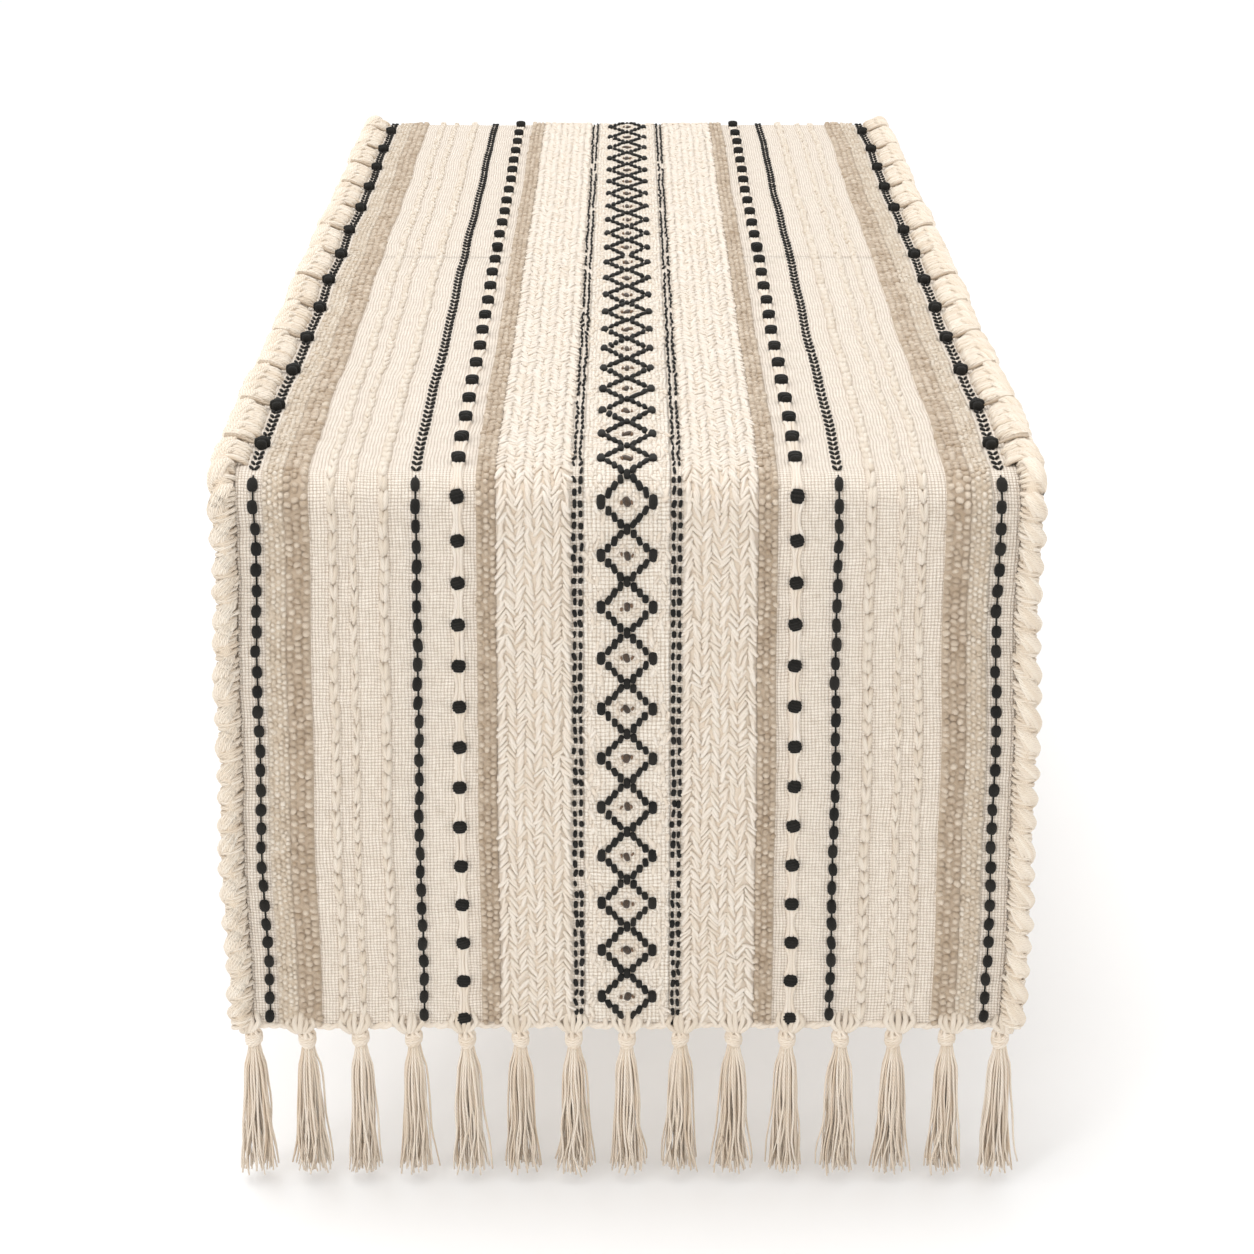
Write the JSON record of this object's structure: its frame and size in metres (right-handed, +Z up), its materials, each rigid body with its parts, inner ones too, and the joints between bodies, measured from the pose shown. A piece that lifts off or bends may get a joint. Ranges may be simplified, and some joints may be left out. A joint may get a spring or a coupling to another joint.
{
  "type": "table runner",
  "caption": "Handwoven striped table runner draped over a tabletop, with laced edges and a row of knotted tassels hanging from each end.",
  "frame": {"origin": "middle of the cloth's underside, where it lies on the tabletop", "axes": "+X across the runner, +Y along it towards the back end, +Z up out of the tabletop; the front end hangs at -Y"},
  "size_m": [0.3078, 0.6582, 0.3005],
  "materials": {
    "ground_cloth": "matt cream plain weave",
    "herringbone_yarn": "matt cream cotton yarn",
    "diamond_band": "matt cream cloth with black stitches",
    "tan_yarn": "matt tan cotton yarn",
    "black_yarn": "matt black cotton yarn",
    "lacing_cord": "matt cream many-stranded cord",
    "tassel_yarn": "matt flax-coloured cotton strands"
  },
  "bodies": {
    "top_run": {"top_cloth": "ground_cloth", "top_diamond_band": "diamond_band", "top_left_herringbone_band": "herringbone_yarn", "top_left_inner_tan_band": "tan_yarn", "top_left_outer_tan_band": "tan_yarn", "top_right_herringbone_band": "herringbone_yarn", "top_right_inner_tan_band": "tan_yarn", "top_right_outer_tan_band": "tan_yarn", "top_left_lacing": "lacing_cord", "top_right_lacing": "lacing_cord"},
    "front_drop": {"front_cloth": "ground_cloth", "front_diamond_band": "diamond_band", "front_left_herringbone_band": "herringbone_yarn", "front_left_inner_tan_band": "tan_yarn", "front_left_outer_tan_band": "tan_yarn", "front_right_herringbone_band": "herringbone_yarn", "front_right_inner_tan_band": "tan_yarn", "front_right_outer_tan_band": "tan_yarn", "front_left_lacing": "lacing_cord", "front_right_lacing": "lacing_cord"},
    "back_drop": {"back_cloth": "ground_cloth", "back_diamond_band": "diamond_band", "back_left_herringbone_band": "herringbone_yarn", "back_left_inner_tan_band": "tan_yarn", "back_left_outer_tan_band": "tan_yarn", "back_right_herringbone_band": "herringbone_yarn", "back_right_inner_tan_band": "tan_yarn", "back_right_outer_tan_band": "tan_yarn", "back_left_lacing": "lacing_cord", "back_right_lacing": "lacing_cord"},
    "front_tassel_01": {"front_tassel_01": "tassel_yarn"},
    "front_tassel_02": {"front_tassel_02": "tassel_yarn"},
    "front_tassel_03": {"front_tassel_03": "tassel_yarn"},
    "front_tassel_04": {"front_tassel_04": "tassel_yarn"},
    "front_tassel_05": {"front_tassel_05": "tassel_yarn"},
    "front_tassel_06": {"front_tassel_06": "tassel_yarn"},
    "front_tassel_07": {"front_tassel_07": "tassel_yarn"},
    "front_tassel_08": {"front_tassel_08": "tassel_yarn"},
    "front_tassel_09": {"front_tassel_09": "tassel_yarn"},
    "front_tassel_10": {"front_tassel_10": "tassel_yarn"},
    "front_tassel_11": {"front_tassel_11": "tassel_yarn"},
    "front_tassel_12": {"front_tassel_12": "tassel_yarn"},
    "front_tassel_13": {"front_tassel_13": "tassel_yarn"},
    "front_tassel_14": {"front_tassel_14": "tassel_yarn"},
    "front_tassel_15": {"front_tassel_15": "tassel_yarn"},
    "back_tassel_01": {"back_tassel_01": "tassel_yarn"},
    "back_tassel_02": {"back_tassel_02": "tassel_yarn"},
    "back_tassel_03": {"back_tassel_03": "tassel_yarn"},
    "back_tassel_04": {"back_tassel_04": "tassel_yarn"},
    "back_tassel_05": {"back_tassel_05": "tassel_yarn"},
    "back_tassel_06": {"back_tassel_06": "tassel_yarn"},
    "back_tassel_07": {"back_tassel_07": "tassel_yarn"},
    "back_tassel_08": {"back_tassel_08": "tassel_yarn"},
    "back_tassel_09": {"back_tassel_09": "tassel_yarn"},
    "back_tassel_10": {"back_tassel_10": "tassel_yarn"},
    "back_tassel_11": {"back_tassel_11": "tassel_yarn"},
    "back_tassel_12": {"back_tassel_12": "tassel_yarn"},
    "back_tassel_13": {"back_tassel_13": "tassel_yarn"},
    "back_tassel_14": {"back_tassel_14": "tassel_yarn"},
    "back_tassel_15": {"back_tassel_15": "tassel_yarn"}
  },
  "joints": [
    {"name": "front_drop_fold", "type": "hinge", "parent": "top_run", "child": "front_drop", "pos_m": [0, -0.32172, -0.0166], "axis": [-1, 0, 0], "range_deg": [-15, 90]},
    {"name": "back_drop_fold", "type": "hinge", "parent": "top_run", "child": "back_drop", "pos_m": [0, 0.32172, -0.0166], "axis": [1, 0, 0], "range_deg": [-15, 90]},
    {"name": "front_tassel_01_swing", "type": "hinge", "parent": "front_drop", "child": "front_tassel_01", "pos_m": [-0.1461, -0.32172, -0.2276], "axis": [-1, 0, 0], "range_deg": [-65, 65]},
    {"name": "front_tassel_02_swing", "type": "hinge", "parent": "front_drop", "child": "front_tassel_02", "pos_m": [-0.12523, -0.32172, -0.2276], "axis": [-1, 0, 0], "range_deg": [-65, 65]},
    {"name": "front_tassel_03_swing", "type": "hinge", "parent": "front_drop", "child": "front_tassel_03", "pos_m": [-0.10436, -0.32172, -0.2276], "axis": [-1, 0, 0], "range_deg": [-65, 65]},
    {"name": "front_tassel_04_swing", "type": "hinge", "parent": "front_drop", "child": "front_tassel_04", "pos_m": [-0.08349, -0.32172, -0.2276], "axis": [-1, 0, 0], "range_deg": [-65, 65]},
    {"name": "front_tassel_05_swing", "type": "hinge", "parent": "front_drop", "child": "front_tassel_05", "pos_m": [-0.06261, -0.32172, -0.2276], "axis": [-1, 0, 0], "range_deg": [-65, 65]},
    {"name": "front_tassel_06_swing", "type": "hinge", "parent": "front_drop", "child": "front_tassel_06", "pos_m": [-0.04174, -0.32172, -0.2276], "axis": [-1, 0, 0], "range_deg": [-65, 65]},
    {"name": "front_tassel_07_swing", "type": "hinge", "parent": "front_drop", "child": "front_tassel_07", "pos_m": [-0.02087, -0.32172, -0.2276], "axis": [-1, 0, 0], "range_deg": [-65, 65]},
    {"name": "front_tassel_08_swing", "type": "hinge", "parent": "front_drop", "child": "front_tassel_08", "pos_m": [0, -0.32172, -0.2276], "axis": [-1, 0, 0], "range_deg": [-65, 65]},
    {"name": "front_tassel_09_swing", "type": "hinge", "parent": "front_drop", "child": "front_tassel_09", "pos_m": [0.02087, -0.32172, -0.2276], "axis": [-1, 0, 0], "range_deg": [-65, 65]},
    {"name": "front_tassel_10_swing", "type": "hinge", "parent": "front_drop", "child": "front_tassel_10", "pos_m": [0.04174, -0.32172, -0.2276], "axis": [-1, 0, 0], "range_deg": [-65, 65]},
    {"name": "front_tassel_11_swing", "type": "hinge", "parent": "front_drop", "child": "front_tassel_11", "pos_m": [0.06261, -0.32172, -0.2276], "axis": [-1, 0, 0], "range_deg": [-65, 65]},
    {"name": "front_tassel_12_swing", "type": "hinge", "parent": "front_drop", "child": "front_tassel_12", "pos_m": [0.08349, -0.32172, -0.2276], "axis": [-1, 0, 0], "range_deg": [-65, 65]},
    {"name": "front_tassel_13_swing", "type": "hinge", "parent": "front_drop", "child": "front_tassel_13", "pos_m": [0.10436, -0.32172, -0.2276], "axis": [-1, 0, 0], "range_deg": [-65, 65]},
    {"name": "front_tassel_14_swing", "type": "hinge", "parent": "front_drop", "child": "front_tassel_14", "pos_m": [0.12523, -0.32172, -0.2276], "axis": [-1, 0, 0], "range_deg": [-65, 65]},
    {"name": "front_tassel_15_swing", "type": "hinge", "parent": "front_drop", "child": "front_tassel_15", "pos_m": [0.1461, -0.32172, -0.2276], "axis": [-1, 0, 0], "range_deg": [-65, 65]},
    {"name": "back_tassel_01_swing", "type": "hinge", "parent": "back_drop", "child": "back_tassel_01", "pos_m": [-0.1461, 0.32172, -0.2276], "axis": [1, 0, 0], "range_deg": [-65, 65]},
    {"name": "back_tassel_02_swing", "type": "hinge", "parent": "back_drop", "child": "back_tassel_02", "pos_m": [-0.12523, 0.32172, -0.2276], "axis": [1, 0, 0], "range_deg": [-65, 65]},
    {"name": "back_tassel_03_swing", "type": "hinge", "parent": "back_drop", "child": "back_tassel_03", "pos_m": [-0.10436, 0.32172, -0.2276], "axis": [1, 0, 0], "range_deg": [-65, 65]},
    {"name": "back_tassel_04_swing", "type": "hinge", "parent": "back_drop", "child": "back_tassel_04", "pos_m": [-0.08349, 0.32172, -0.2276], "axis": [1, 0, 0], "range_deg": [-65, 65]},
    {"name": "back_tassel_05_swing", "type": "hinge", "parent": "back_drop", "child": "back_tassel_05", "pos_m": [-0.06261, 0.32172, -0.2276], "axis": [1, 0, 0], "range_deg": [-65, 65]},
    {"name": "back_tassel_06_swing", "type": "hinge", "parent": "back_drop", "child": "back_tassel_06", "pos_m": [-0.04174, 0.32172, -0.2276], "axis": [1, 0, 0], "range_deg": [-65, 65]},
    {"name": "back_tassel_07_swing", "type": "hinge", "parent": "back_drop", "child": "back_tassel_07", "pos_m": [-0.02087, 0.32172, -0.2276], "axis": [1, 0, 0], "range_deg": [-65, 65]},
    {"name": "back_tassel_08_swing", "type": "hinge", "parent": "back_drop", "child": "back_tassel_08", "pos_m": [0, 0.32172, -0.2276], "axis": [1, 0, 0], "range_deg": [-65, 65]},
    {"name": "back_tassel_09_swing", "type": "hinge", "parent": "back_drop", "child": "back_tassel_09", "pos_m": [0.02087, 0.32172, -0.2276], "axis": [1, 0, 0], "range_deg": [-65, 65]},
    {"name": "back_tassel_10_swing", "type": "hinge", "parent": "back_drop", "child": "back_tassel_10", "pos_m": [0.04174, 0.32172, -0.2276], "axis": [1, 0, 0], "range_deg": [-65, 65]},
    {"name": "back_tassel_11_swing", "type": "hinge", "parent": "back_drop", "child": "back_tassel_11", "pos_m": [0.06261, 0.32172, -0.2276], "axis": [1, 0, 0], "range_deg": [-65, 65]},
    {"name": "back_tassel_12_swing", "type": "hinge", "parent": "back_drop", "child": "back_tassel_12", "pos_m": [0.08349, 0.32172, -0.2276], "axis": [1, 0, 0], "range_deg": [-65, 65]},
    {"name": "back_tassel_13_swing", "type": "hinge", "parent": "back_drop", "child": "back_tassel_13", "pos_m": [0.10436, 0.32172, -0.2276], "axis": [1, 0, 0], "range_deg": [-65, 65]},
    {"name": "back_tassel_14_swing", "type": "hinge", "parent": "back_drop", "child": "back_tassel_14", "pos_m": [0.12523, 0.32172, -0.2276], "axis": [1, 0, 0], "range_deg": [-65, 65]},
    {"name": "back_tassel_15_swing", "type": "hinge", "parent": "back_drop", "child": "back_tassel_15", "pos_m": [0.1461, 0.32172, -0.2276], "axis": [1, 0, 0], "range_deg": [-65, 65]}
  ]
}
